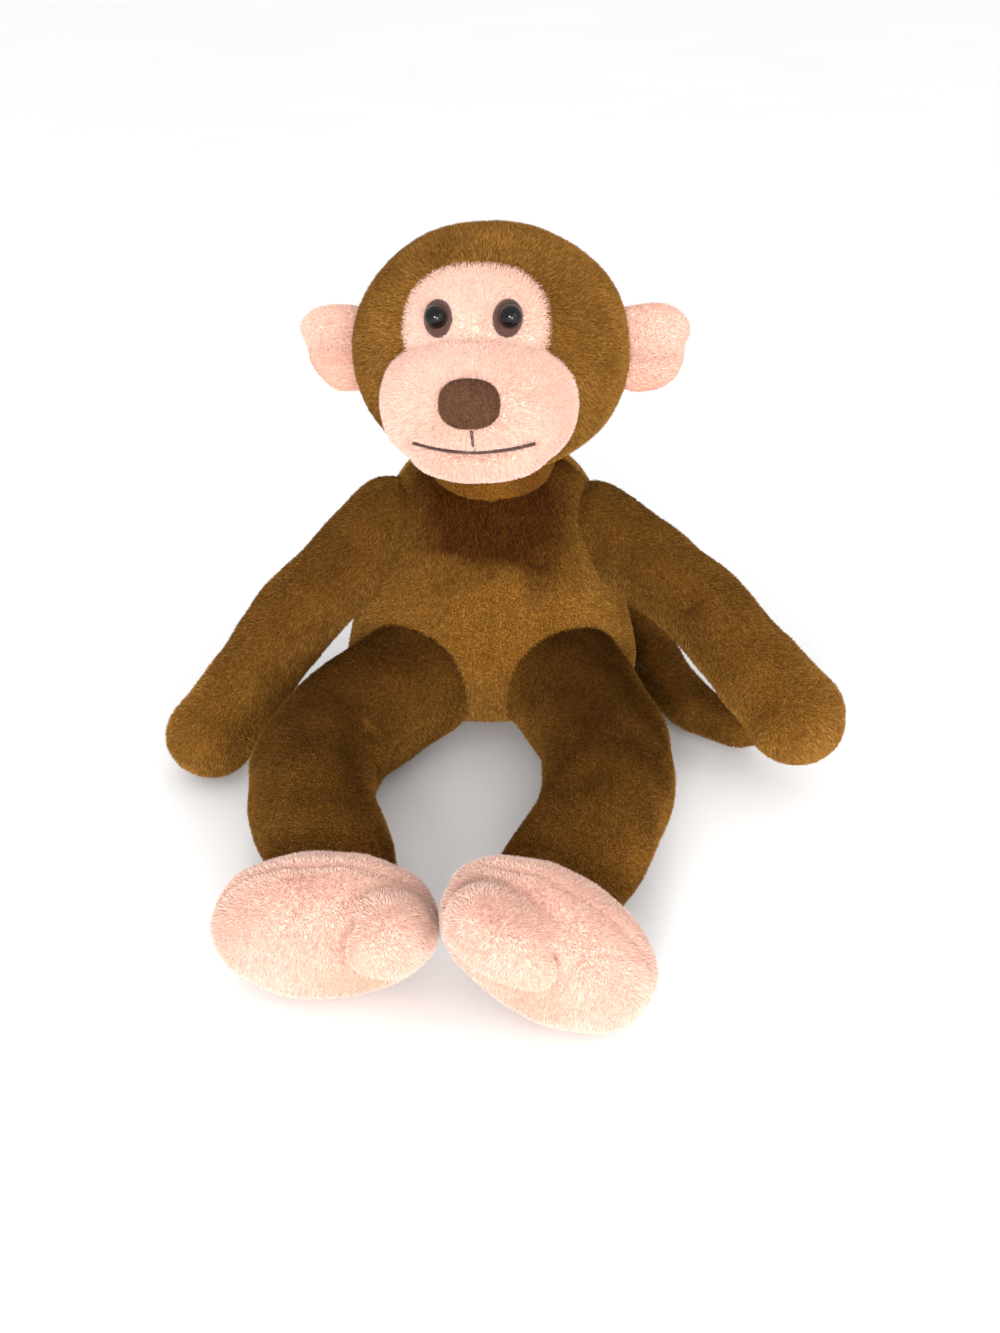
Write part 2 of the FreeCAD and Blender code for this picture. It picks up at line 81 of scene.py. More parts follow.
def middle(*nodes):
    """Middle of the box round some nodes, in millimetres."""
    low = np.min([mm(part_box(n)[0]) for n in nodes], axis=0)
    high = np.max([mm(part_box(n)[1]) for n in nodes], axis=0)
    return (low + high) / 2


SIDES = (("left", 1), ("right", -1))
shoulder = {s: joint_at[f"shoulder_{s}"] for s, _ in SIDES}
elbow = {s: joint_at[f"elbow_{s}"] for s, _ in SIDES}
hip = {s: joint_at[f"hip_{s}"] for s, _ in SIDES}
knee = {s: joint_at[f"knee_{s}"] for s, _ in SIDES}
ankle = {s: joint_at[f"ankle_{s}"] for s, _ in SIDES}
foot_middle = {s: middle(f"foot_{s}_sole_panel", f"foot_{s}_upper_panel") for s, _ in SIDES}
crown = mm(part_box("head_front_panel")[1])[2]
head_r = (mm(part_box("head_front_panel")[1])[0] - mm(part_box("head_front_panel")[0])[0]) / 2
head_middle = np.array([0.0, joint_at["neck_turn"][1] - 3.0, crown - head_r])
HEAD_TURN = Euler((math.radians(-13), math.radians(-2.4), math.radians(-7)), "YXZ").to_matrix()
print("head middle", head_middle.round(1), " radius", round(head_r, 1), " crown", round(crown, 1))

# %% [markdown]
# ## Camera
# The toy is seen from in front and above, so the lens looks down at it by about 32 degrees.  A long-ish lens keeps
# the big feet from swelling too much towards the viewer.

# %% Camera
LOOK_DOWN = 32.0
FOCAL = 1.43          # focal length as a number of frame widths
camera_data = bpy.data.cameras.new("camera")
camera_data.sensor_fit = "HORIZONTAL"
camera_data.sensor_width = 36.0
camera_data.lens = 36.0 * FOCAL
camera_data.clip_start = 0.01
camera = bpy.data.objects.new("camera", camera_data)
scene.collection.objects.link(camera)
camera.location = (0.0032, -0.4974, 0.3246)
camera.rotation_euler = (math.radians(90 - LOOK_DOWN), 0, 0)
scene.camera = camera
print("lens", round(camera_data.lens, 1), "mm")

# %% [markdown]
# ## Rough forms
# A sewn toy is a few stuffed bags pushed together.  Each bag can be roughed out from round masses, the way a sculptor
# starts with balls of clay: tapered sausages for limbs and ovals for cushions.  A voxel remesh then fuses the masses
# into one even skin, and a little smoothing rounds the places where they meet.

# %% Masses and skins
def sausage(start, start_r, end, end_r, flat=1.0, flat_axis=(0, 1, 0), around=40, along=26):
    """Vertices and faces of a round-ended tapered limb, in millimetres, thinned along flat_axis."""
    start, end = np.array(start, float), np.array(end, float)
    axis = end - start
    length = np.linalg.norm(axis)
    axis /= length
    thin = np.array(flat_axis, float)
    thin -= axis * thin.dot(axis)
    thin /= np.linalg.norm(thin)
    wide = np.cross(axis, thin)
    rings = []
    for angle in np.linspace(-math.pi / 2, 0, 9)[1:]:
        rings.append((start_r * math.sin(angle), start_r * math.cos(angle)))
    for share in np.linspace(0, 1, along)[1:-1]:
        rings.append((length * share, start_r + (end_r - start_r) * share))
    for angle in np.linspace(0, math.pi / 2, 9)[:-1]:
        rings.append((length + end_r * math.sin(angle), end_r * math.cos(angle)))
    turns = np.linspace(0, 2 * math.pi, around, endpoint=False)
    points = [start - axis * start_r]
    for reach, radius in rings:
        for turn in turns:
            points.append(start + axis * reach + radius * (wide * math.cos(turn) + flat * thin * math.sin(turn)))
    points.append(end + axis * end_r)
    faces = [[0, 1 + (i + 1) % around, 1 + i] for i in range(around)]
    for ring in range(len(rings) - 1):
        a = 1 + ring * around
        faces += [[a + i, a + (i + 1) % around, a + around + (i + 1) % around, a + around + i] for i in range(around)]
    a, last = 1 + (len(rings) - 1) * around, len(points) - 1
    faces += [[a + i, a + (i + 1) % around, last] for i in range(around)]
    return np.array(points), faces


def oval(centre, radii, turn=None, squareness=2.0, around=48, rings=28):
    """Vertices and faces of an egg or a squarish cushion, in millimetres, turned about its centre."""
    points, faces = [], []
    for latitude in np.linspace(-math.pi / 2, math.pi / 2, rings):
        for turn_angle in np.linspace(0, 2 * math.pi, around, endpoint=False):
            unit = np.array([math.cos(latitude) * math.cos(turn_angle), math.cos(latitude) * math.sin(turn_angle),
                             math.sin(latitude)])
            norm = (np.abs(unit) ** squareness).sum() ** (1 / squareness)
            points.append(unit / norm * np.array(radii, float))
    for r in range(rings - 1):
        a = r * around
        faces += [[a + i, a + (i + 1) % around, a + around + (i + 1) % around, a + around + i] for i in range(around)]
    points = np.array(points)
    if turn is not None:
        points = points @ np.array(turn).T
    return points + np.array(centre, float), faces


def rings_body(stations, lean, base, squareness=2.2, around=72):
    """A closed body from (height, half width, front depth, back depth) stations, leaning back by lean degrees."""
    points, faces = [], []
    for height, wide, front, back in stations:
        middle_y = base[1] + math.tan(math.radians(lean)) * height
        for turn in np.linspace(0, 2 * math.pi, around, endpoint=False):
            c, s = math.cos(turn), math.sin(turn)
            norm = (abs(c) ** squareness + abs(s) ** squareness) ** (1 / squareness)
            points.append([base[0] + wide * c / norm, middle_y + (back if s > 0 else front) * s / norm, height])
    for r in range(len(stations) - 1):
        a = r * around
        faces += [[a + i, a + (i + 1) % around, a + around + (i + 1) % around, a + around + i] for i in range(around)]
    last = (len(stations) - 1) * around
    faces += [list(range(around))[::-1], [last + i for i in range(around)]]
    return np.array(points), faces


def mesh_piece(name, parts):
    """One object from several (vertices in millimetres, faces) parts."""
    verts, faces = [], []
    for points, polys in parts:
        offset = len(verts)
        verts += [tuple(p * MM) for p in points]
        faces += [[i + offset for i in poly] for poly in polys]
    mesh = bpy.data.meshes.new(name)
    mesh.from_pydata(verts, [], faces)
    mesh.validate()
    piece = bpy.data.objects.new(name, mesh)
    scene.collection.objects.link(piece)
    return piece


def settle(piece):
    """Applies every modifier on a piece."""
    bpy.context.view_layer.update()
    done = bpy.data.meshes.new_from_object(piece.evaluated_get(bpy.context.evaluated_depsgraph_get()))
    old, piece.data = piece.data, done
    piece.modifiers.clear()
    bpy.data.meshes.remove(old)
    done.name = piece.name
    return piece


def fuse(piece, voxel=2.2, smooth=6):
    """Remeshes overlapping masses into one even skin and softens it."""
    bm = bmesh.new()
    bm.from_mesh(piece.data)
    bmesh.ops.remove_doubles(bm, verts=bm.verts, dist=1e-5)
    bmesh.ops.recalc_face_normals(bm, faces=bm.faces)
    bm.to_mesh(piece.data)
    bm.free()
    remesh = piece.modifiers.new("remesh", "REMESH")
    remesh.mode = "VOXEL"
    remesh.voxel_size = voxel * MM
    if smooth:
        soften = piece.modifiers.new("soften", "SMOOTH")
        soften.factor = 0.5
        soften.iterations = smooth
    return settle(piece)


def points_of(piece):
    co = np.empty(len(piece.data.vertices) * 3, np.float32)
    piece.data.vertices.foreach_get("co", co)
    return co.reshape(-1, 3).astype(float) / MM


def normals_of(piece):
    no = np.empty(len(piece.data.vertices) * 3, np.float32)
    piece.data.vertices.foreach_get("normal", no)
    return no.reshape(-1, 3).astype(float)


def set_points(piece, co):
    piece.data.vertices.foreach_set("co", (co * MM).astype(np.float32).ravel())
    piece.data.update()


def along_line(co, line):
    """Distance from each point to a line of points, in millimetres."""
    line = np.array(line, float)
    best = np.full(len(co), 1e9)
    for a, b in zip(line[:-1], line[1:]):
        ab = b - a
        t = np.clip(((co - a) @ ab) / ab.dot(ab), 0, 1)
        best = np.minimum(best, np.linalg.norm(co - (a + t[:, None] * ab), axis=1))
    return best


def tuck(piece, line, depth, width):
    """Draws the cloth in along a line, as a seam or a crease does."""
    co, no = points_of(piece), normals_of(piece)
    pull = depth * np.exp(-(along_line(co, line) / width) ** 2)
    set_points(piece, co - no * pull[:, None])


def swell(piece, centre, reach, height):
    """Pushes the cloth out, or in if height is negative, round a point."""
    co, no = points_of(piece), normals_of(piece)
    far = np.linalg.norm((co - np.array(centre, float)) / np.array(reach, float), axis=1)
    set_points(piece, co + no * (height * np.exp(-far ** 2))[:, None])


def lumps(piece, height, size, seed):
    """Slow uneven swelling from the fibre fill."""
    co, no = points_of(piece), normals_of(piece)
    shift = Vector((seed * 7.3, seed * 3.1, seed * 5.7))
    swing = np.array([noise.noise(Vector(p / size) + shift) for p in co])
    set_points(piece, co + no * (height * swing)[:, None])


def finer(piece, levels=1):
    modifier = piece.modifiers.new("finer", "SUBSURF")
    modifier.levels = modifier.render_levels = levels
    settle(piece)
    for polygon in piece.data.polygons:
        polygon.use_smooth = True
    return piece


print("mass and skin tools ready")

# %% [markdown]
# ## Filling a bag with fibre
# A stuffed bag is tight in its middle and drawn in at its seams.  Blender's cloth with air pressure does the same: the
# seam points are pinned where they are, the rest is blown up a little, and the result is kept as a plain mesh.

# %% Stuffing by cloth simulation
def stuff(piece, seams, pressure=4.0, cap=2.5, frames=20, seam_width=3.0):
    """Inflates a piece between its seams.  No point may move further than cap millimetres."""
    if not seams:
        return piece
    before = points_of(piece)
    group = piece.vertex_groups.new(name="seams")
    near = np.min([along_line(before, seam) for seam in seams], axis=0)
    for index in np.nonzero(near < seam_width)[0]:
        group.add([int(index)], 1.0, "REPLACE")
    cloth = piece.modifiers.new("cloth", "CLOTH")
    cloth.settings.quality = 5
    cloth.settings.mass = 0.2
    cloth.settings.tension_stiffness = cloth.settings.compression_stiffness = 12
    cloth.settings.bending_stiffness = 0.6
    cloth.settings.use_pressure = True
    cloth.settings.uniform_pressure_force = pressure
    cloth.settings.effector_weights.gravity = 0
    cloth.settings.vertex_group_mass = "seams"
    cloth.point_cache.frame_start, cloth.point_cache.frame_end = 1, frames
    for number in range(1, frames + 1):
        scene.frame_set(number)
    settle(piece)
    scene.frame_set(1)
    moved = points_of(piece) - before
    length = np.linalg.norm(moved, axis=1)
    share = np.minimum(1.0, cap / np.maximum(length, 1e-9))
    set_points(piece, before + moved * share[:, None])
    piece.vertex_groups.clear()
    print(f"{piece.name}: cloth moved up to {min(length.max(), cap):.1f} mm")
    return piece


print("cloth tool ready")

# %% [markdown]
# ## Pile
# Plush is a knitted ground with thousands of fine upright fibres per square centimetre.  Modelling each one is out of
# reach, but tufts of a few fibres are enough for the eye.  Geometry nodes scatter thin tapered tufts over each skin,
# and two attributes stored on the skin say which way the pile is brushed and how flat it lies.  How flat it lies also
# picks the painted shade: flat pile gets a darker, shaded colour, and the value is raised in places of painted shade.

# %% Pile tools
def brush(piece, direction, flatness):
    """Stores which way the pile is brushed and how flat it lies, which also picks its painted shade, from functions of
    the points in millimetres.
    """
    co, no = points_of(piece), normals_of(piece)
    way = np.broadcast_to(direction(co) if callable(direction) else np.array(direction, float), co.shape).copy()
    way -= no * (way * no).sum(1)[:, None]
    way /= np.maximum(np.linalg.norm(way, axis=1), 1e-6)[:, None]
    flat = flatness(co, no) if callable(flatness) else np.full(len(co), float(flatness))
    ruffle = np.array([noise.noise(Vector(p / 13.0)) for p in co])
    flat = np.clip(flat + 0.2 * ruffle, 0, 1)
    for name, kind, values, field in (("brushed", "FLOAT_VECTOR", way, "vector"), ("flatness", "FLOAT", flat, "value")):
        attribute = piece.data.attributes.get(name) or piece.data.attributes.new(name, kind, "POINT")
        attribute.data.foreach_set(field, values.astype(np.float32).ravel())
    return piece


def pile(piece, tuft_finish, per_mm2, length, width, seed, ruffled=0.3, keep_off=None):
    """Scatters tufts over a skin without making them part of its mesh."""
    tree = bpy.data.node_groups.new(f"pile_{piece.name}", "GeometryNodeTree")
    tree.interface.new_socket("Geometry", in_out="INPUT", socket_type="NodeSocketGeometry")
    tree.interface.new_socket("Geometry", in_out="OUTPUT", socket_type="NodeSocketGeometry")
    nodes, link = tree.nodes, tree.links.new
    source, result = nodes.new("NodeGroupInput"), nodes.new("NodeGroupOutput")

    scatter = nodes.new("GeometryNodeDistributePointsOnFaces")
    scatter.inputs["Density"].default_value = per_mm2 * 1e6 * 1.0
    scatter.inputs["Seed"].default_value = seed
    link(source.outputs[0], scatter.inputs["Mesh"])

    tuft = nodes.new("GeometryNodeMeshCone")
    tuft.fill_type = "NONE"
    tuft.inputs["Vertices"].default_value = 3
    tuft.inputs["Side Segments"].default_value = 1
    tuft.inputs["Radius Top"].default_value = width * 0.12 * MM
    tuft.inputs["Radius Bottom"].default_value = width * 0.5 * MM
    tuft.inputs["Depth"].default_value = length * MM
    painted = nodes.new("GeometryNodeSetMaterial")
    painted.inputs["Material"].default_value = tuft_finish
    height = nodes.new("ShaderNodeSeparateXYZ")
    link(nodes.new("GeometryNodeInputPosition").outputs["Position"], height.inputs[0])
    share_up = nodes.new("ShaderNodeMapRange")
    share_up.inputs["From Max"].default_value = length * MM
    link(height.outputs["Z"], share_up.inputs["Value"])
    # The share of the way up each tuft, which the tuft finishes use for painted shade at the root.
    marked = nodes.new("GeometryNodeStoreNamedAttribute")
    marked.data_type, marked.domain = "FLOAT", "POINT"
    marked.inputs["Name"].default_value = "tip"
    link(tuft.outputs["Mesh"], marked.inputs["Geometry"])
    link(share_up.outputs["Result"], marked.inputs["Value"])
    link(marked.outputs["Geometry"], painted.inputs["Geometry"])

    def named(name, kind):
        node = nodes.new("GeometryNodeInputNamedAttribute")
        node.data_type = kind
        node.inputs["Name"].default_value = name
        return node.outputs["Attribute"]

    def vector_math(operation, *values):
        node = nodes.new("ShaderNodeVectorMath")
        node.operation = operation
        for index, value in enumerate(values):
            socket = node.inputs["Scale"] if operation == "SCALE" and index == 1 else node.inputs[index]
            if isinstance(value, bpy.types.NodeSocket):
                link(value, socket)
            else:
                socket.default_value = value
        return node.outputs["Vector"]

    def remap(value, low, high):
        node = nodes.new("ShaderNodeMapRange")
        node.inputs["To Min"].default_value = low
        node.inputs["To Max"].default_value = high
        link(value, node.inputs["Value"])
        return node.outputs["Result"]

    def random_vector(spread, salt):
        node = nodes.new("FunctionNodeRandomValue")
        node.data_type = "FLOAT_VECTOR"
        node.inputs[0].default_value = (-spread,) * 3
        node.inputs[1].default_value = (spread,) * 3
        node.inputs["Seed"].default_value = seed + salt
        return node.outputs[0]

    flat = named("flatness", "FLOAT")
    upright = vector_math("SCALE", scatter.outputs["Normal"], remap(flat, 0.95, 0.30))
    lying = vector_math("SCALE", named("brushed", "FLOAT_VECTOR"), remap(flat, 0.35, 1.0))
    way = vector_math("ADD", vector_math("ADD", upright, lying), random_vector(ruffled, 11))
    turn = nodes.new("FunctionNodeAlignRotationToVector")
    turn.axis = "Z"
    link(way, turn.inputs["Vector"])

    size = nodes.new("FunctionNodeRandomValue")
    size.data_type = "FLOAT"
    size.inputs[2].default_value = 0.6
    size.inputs[3].default_value = 1.2
    size.inputs["Seed"].default_value = seed + 5
    place = nodes.new("GeometryNodeInstanceOnPoints")
    link(scatter.outputs["Points"], place.inputs["Points"])
    link(painted.outputs["Geometry"], place.inputs["Instance"])
    link(turn.outputs["Rotation"], place.inputs["Rotation"])
    link(size.outputs[1], place.inputs["Scale"])
    join = nodes.new("GeometryNodeJoinGeometry")
    link(place.outputs["Instances"], join.inputs["Geometry"])
    link(source.outputs[0], join.inputs["Geometry"])
    link(join.outputs["Geometry"], result.inputs[0])
    modifier = piece.modifiers.new("pile", "NODES")
    modifier.node_group = tree
    return piece


print("pile tools ready")

# %% [markdown]
# ## Finishes
# Brown plush looks golden where the fibres stand up and catch the light, and dark where they lie flat.  The finishes
# paint this light and shade into the colour: the brown ground and the tufts of both colours have a lit copy of their
# colours for upright pile and a shaded copy for flat pile.  So one finish serves the whole body, and the value stored
# on each skin, how flat the pile lies together with painted shade in recesses, below the head and on some sides,
# chooses between its dark and its golden end.  The ground under the tufts gets the same colours in fine speckles, from
# painted shade to painted glints, a velvet sheen and a bump, so that it reads as plush by itself when the tufts are
# left off.  Each tuft also gets painted shade at its root.

# %% Finish tools
def tone(red, green, blue):
    """A display colour from 0 to 255 as the linear colour that shaders use."""
    return tuple((c / 255 / 12.92 if c / 255 <= 0.04045 else ((c / 255 + 0.055) / 1.055) ** 2.4)
                 for c in (red, green, blue)) + (1.0,)


class Finish:
    """A material with short words for its common nodes."""

    def __init__(self, name):
        self.material = bpy.data.materials.new(name)
        self.material.use_nodes = True
        self.nodes, self.link = self.material.node_tree.nodes, self.material.node_tree.links.new
        self.shader = self.nodes["Principled BSDF"]

    def set(self, **values):
        for key, value in values.items():
            self.shader.inputs[key.replace("_", " ")].default_value = value
        return self

    def place(self):
        """Where a point is on the piece."""
        return self.nodes.new("ShaderNodeTexCoord").outputs["Object"]

    def speckle(self, per_mm, detail=3.0, rough=0.6, stretch=(1, 1, 1), swirl=0.0):
        spread = self.nodes.new("ShaderNodeMapping")
        spread.inputs["Scale"].default_value = stretch
        self.link(self.place(), spread.inputs["Vector"])
        node = self.nodes.new("ShaderNodeTexNoise")
        node.inputs["Scale"].default_value = per_mm * 1000
        node.inputs["Detail"].default_value = detail
        node.inputs["Roughness"].default_value = rough
        node.inputs["Distortion"].default_value = swirl
        self.link(spread.outputs["Vector"], node.inputs["Vector"])
        return node.outputs["Fac"]

    def painted(self, name, on_tufts=False):
        node = self.nodes.new("ShaderNodeAttribute")
        node.attribute_type = "INSTANCER" if on_tufts else "GEOMETRY"
        node.attribute_name = name
        return node.outputs["Fac"]

    def sums(self, operation, a, b):
        node = self.nodes.new("ShaderNodeMath")
        node.operation = operation
        for socket, value in zip(node.inputs, (a, b)):
            if isinstance(value, bpy.types.NodeSocket):
                self.link(value, socket)
            else:
                socket.default_value = value
        return node.outputs[0]

    def ramp(self, value, *stops):
        """Colours at steps of a value."""
        node = self.nodes.new("ShaderNodeValToRGB")
        node.color_ramp.elements[0].position, node.color_ramp.elements[0].color = stops[0]
        node.color_ramp.elements[1].position, node.color_ramp.elements[1].color = stops[-1]
        for position, colour in stops[1:-1]:
            node.color_ramp.elements.new(position).color = colour
        self.link(value, node.inputs["Fac"])
        return node.outputs["Color"]

    def blend(self, share, first, second, kind="MIX"):
        node = self.nodes.new("ShaderNodeMix")
        node.data_type, node.blend_type = "RGBA", kind
        for socket, value in ((node.inputs["Factor"], share), (node.inputs[6], first), (node.inputs[7], second)):
            if isinstance(value, bpy.types.NodeSocket):
                self.link(value, socket)
            else:
                socket.default_value = value
        return node.outputs[2]

    def colour(self, value):
        self.link(value, self.shader.inputs["Base Color"])
        return self

    def relief(self, value, strength, depth_mm):
        node = self.nodes.new("ShaderNodeBump")
        node.inputs["Strength"].default_value = strength
        node.inputs["Distance"].default_value = depth_mm * MM
        self.link(value, node.inputs["Height"])
        self.link(node.outputs["Normal"], self.shader.inputs["Normal"])
        return self


print("finish tools ready")

# %% Brown plush and pink plush
# Brown plush tones, from a painted shade through the brown and the lit golden colour of the pile to a painted glint.
SHADE, BROWN, GOLD, GLINT = tone(84, 44, 4), tone(134, 86, 24), tone(172, 120, 50), tone(206, 160, 88)


def brown_ground():
    f = Finish("brown_plush_ground").set(Roughness=0.9, Specular_IOR_Level=0.1, Sheen_Weight=0.05, Sheen_Roughness=0.45)
    f.shader.inputs["Sheen Tint"].default_value = tone(214, 166, 104)
    grain = f.speckle(1.6, 4.0, 0.7)
    # Painted light: the fine speckles run from painted shade to painted glints.  The first ramp is the lit copy for
    # upright pile, the second the shaded copy for flat pile.
    standing_lit = f.ramp(grain, (0.30, SHADE), (0.48, BROWN), (0.62, GOLD), (0.74, GLINT))
    lying = f.ramp(grain, (0.30, tone(42, 16, 0)), (0.50, tone(66, 32, 0)), (0.74, tone(98, 56, 8)))
    f.colour(f.blend(f.painted("flatness"), standing_lit, lying))
    return f.relief(f.sums("ADD", grain, f.speckle(0.35, 2.0)), 0.8, 0.5).material


def brown_tufts():
    f = Finish("brown_plush_tufts").set(Roughness=0.75, Specular_IOR_Level=0.1, Sheen_Weight=0.02, Sheen_Roughness=0.4)
    f.shader.inputs["Sheen Tint"].default_value = tone(226, 180, 116)
    each = f.nodes.new("ShaderNodeObjectInfo").outputs["Random"]
    # Lit copy for upright pile, where a few tufts are painted as glints, and shaded copy for flat pile; the tone of
    # each tuft also differs at random.
    standing_lit = f.ramp(each, (0.0, tone(136, 88, 26)), (0.4, tone(164, 114, 46)), (0.8, tone(186, 136, 62)), (1.0, GLINT))
    lying = f.ramp(each, (0.0, tone(46, 18, 0)), (0.6, tone(70, 34, 0)), (1.0, tone(106, 62, 10)))
    body = f.blend(f.painted("flatness", True), standing_lit, lying)
    # Painted shade at each tuft's root: darker towards its base.
    root = f.ramp(f.painted("tip"), (0.0, (0.5, 0.45, 0.4, 1)), (0.6, (1, 1, 1, 1)))
    return f.colour(f.blend(1.0, body, root, "MULTIPLY")).material


def pink_ground():
    f = Finish("pink_plush_ground").set(Roughness=0.95, Specular_IOR_Level=0.2, Sheen_Weight=0.1, Sheen_Roughness=0.6)
    f.shader.inputs["Sheen Tint"].default_value = tone(255, 232, 222)
    nubs = f.speckle(0.8, 3.0, 0.6, swirl=0.4)
    f.colour(f.ramp(nubs, (0.30, tone(206, 158, 140)), (0.50, tone(222, 180, 164)), (0.70, tone(234, 200, 188))))
    return f.relief(nubs, 0.7, 0.6).material


def pink_tufts():
    f = Finish("pink_plush_tufts").set(Roughness=0.85, Specular_IOR_Level=0.25, Sheen_Weight=0.08, Sheen_Roughness=0.5)
    f.shader.inputs["Sheen Tint"].default_value = tone(255, 236, 226)
    each = f.nodes.new("ShaderNodeObjectInfo").outputs["Random"]
    # Lit copy for upright pile and a darker, pinker shaded copy for flat pile; the tone of each tuft also differs at
    # random.
    standing_lit = f.ramp(each, (0.0, tone(220, 184, 168)), (0.5, tone(230, 198, 184)), (1.0, tone(242, 218, 208)))
    lying = f.ramp(each, (0.0, tone(216, 160, 138)), (1.0, tone(230, 180, 160)))
    body = f.blend(f.painted("flatness", True), standing_lit, lying)
    # Painted shade at each tuft's root: darker towards its base.
    root = f.ramp(f.painted("tip"), (0.0, (0.86, 0.80, 0.76, 1)), (0.6, (1, 1, 1, 1)))
    return f.colour(f.blend(1.0, body, root, "MULTIPLY")).material


BROWN_GROUND, BROWN_TUFTS, PINK_GROUND, PINK_TUFTS = brown_ground(), brown_tufts(), pink_ground(), pink_tufts()
print("plush finishes:", [m.name for m in (BROWN_GROUND, BROWN_TUFTS, PINK_GROUND, PINK_TUFTS)])

# %% Small hard and thread finishes
def bead_black():
    f = Finish("bead_black").set(Roughness=0.08, Specular_IOR_Level=0.3)
    return f.colour(f.ramp(f.speckle(0.2), (0.3, tone(4, 3, 3)), (0.7, tone(12, 8, 7)))).material


def felt_brown():
    f = Finish("felt_brown").set(Roughness=0.95, Sheen_Weight=0.25)
    hair = f.speckle(2.2, 5.0, 0.75, swirl=0.8)
    f.colour(f.ramp(hair, (0.30, tone(48, 28, 22)), (0.55, tone(76, 47, 38)), (0.75, tone(108, 74, 60))))
    return f.relief(hair, 0.6, 0.25).material


def nose_fuzz(name, tufts=False):
    f = Finish(name).set(Roughness=0.85, Specular_IOR_Level=0.2, Sheen_Weight=0.1, Sheen_Roughness=0.4)
    f.shader.inputs["Sheen Tint"].default_value = tone(168, 132, 108)
    grain = f.nodes.new("ShaderNodeObjectInfo").outputs["Random"] if tufts else f.speckle(1.8, 4.0, 0.7)
    f.colour(f.ramp(grain, (0.2, tone(66, 40, 26)), (0.55, tone(92, 60, 42)), (0.9, tone(118, 84, 62))))
    return f.material if tufts else f.relief(grain, 0.6, 0.4).material


def thread(name, dark, light):
    f = Finish(name).set(Roughness=0.7, Sheen_Weight=0.2)
    twist = f.speckle(2.4, 2.0, 0.5, stretch=(1, 1, 2.4))
    f.colour(f.ramp(twist, (0.35, dark), (0.65, light)))
    return f.relief(twist, 0.5, 0.15).material


def washer_white():
    f = Finish("washer_white").set(Roughness=0.45)
    haze = f.speckle(0.3)
    f.colour(f.ramp(haze, (0.3, tone(214, 212, 204)), (0.7, tone(238, 236, 230))))
    return f.relief(f.speckle(1.2), 0.2, 0.05).material


BEAD, FELT, NOSE_GROUND, NOSE_TUFTS = bead_black(), felt_brown(), nose_fuzz("nose_ground"), nose_fuzz("nose_tufts", True)
MOUTH_THREAD = thread("mouth_thread_dark", tone(34, 18, 16), tone(74, 44, 38))
SEAM_THREAD = thread("seam_thread_brown", tone(66, 36, 12), tone(112, 72, 34))
WASHER = washer_white()


def dress(piece, *materials):
    piece.data.materials.clear()
    for material in materials:
        piece.data.materials.append(material)
    return piece


for side, _ in SIDES:
    dress(frame["nodes"][f"eye_{side}"], BEAD)
    dress(frame["nodes"][f"eye_washer_{side}"], WASHER)
dress(frame["nodes"]["nose_washer"], WASHER)
dress(frame["nodes"]["back_closing_stitches"], SEAM_THREAD)
print("hard parts dressed")

# %% [markdown]
# ## Torso
# The torso is a pear-shaped bag of four panels, with seams down the centre front, the centre back and both sides.  It
# could be fused from round masses, but rings that widen to the hips follow a pear better.  Its lower front is drawn
# back between the legs, where the cloth turns under to the seat.  The pile on the upper chest is brushed flat and gets
# the dark shaded colour, partly flat pile and partly painted shade below the head.

# %% Torso
BROWN_PILE = dict(per_mm2=5.5, length=1.5, width=0.34)
PINK_PILE = dict(per_mm2=5.0, length=1.2, width=0.34)
DOWN = (0, -0.25, -1)

torso_base = np.array([0.0, -3.0, 0.0])
torso = mesh_piece("torso_skin", [rings_body([
    (0.3, 38, 13, 31), (0.6, 46, 15, 37), (4, 52.5, 21, 41), (12, 57, 34, 43), (22, 58, 41.5, 43.5),
    (34, 55.5, 42, 41), (48, 51.5, 39, 37.5), (60, 47.5, 35.5, 34), (72, 43.5, 31.5, 31), (83, 40, 28, 28.5),
    (92, 35.5, 25.5, 27), (98, 29, 21, 24), (102, 21, 16, 18), (104.5, 11, 9, 10)], 12, torso_base)])
fuse(torso, 2.4, 10)


def front_line(heights, x, offset=0.0, lean=12, front=True):
    """Points down the front or back of the torso near the middle."""
    co = points_of(torso)
    line = []
    for z in heights:
        near = co[(np.abs(co[:, 2] - z) < 3) & (np.abs(co[:, 0] - x) < 4)]
        line.append([x, near[:, 1].min() - offset if front else near[:, 1].max() + offset, z])
    return line


front_seam = front_line(np.linspace(99, 14, 18), 0)
back_seam = front_line(np.linspace(99, 8, 16), 0, front=False)
side_seams = [[[sign * w, -3 + z * math.tan(math.radians(12)), z] for z, w in
               ((4, 54.5), (12, 57.5), (22, 58), (34, 55.5), (48, 51.5), (60, 47.5), (68, 45))] for _, sign in SIDES]
stuff(torso, [front_seam, back_seam] + side_seams, pressure=4.0, cap=2.0)
lumps(torso, 1.1, 22.0, 1)
finer(torso)
tuck(torso, front_seam[:12], 1.1, 1.6)
tuck(torso, back_seam, 1.4, 1.6)
for seam in side_seams:
    tuck(torso, seam, 1.2, 1.6)
flat = points_of(torso)
flat[:, 2] = np.maximum(flat[:, 2], 0.15)
set_points(torso, flat)


def torso_nap_and_shade(co, no):
    wander = np.array([noise.noise(Vector(p / 16.0)) for p in co])
    # Painted shade: the upper front of the chest, below the head, gets the dark shaded colour along with flat pile.
    chest = np.clip((co[:, 2] - 59 + 9 * wander) / 13, 0, 1) * (no[:, 1] < 0) * np.exp(-(co[:, 0] / 36) ** 4)
    return 0.06 + 1.05 * chest


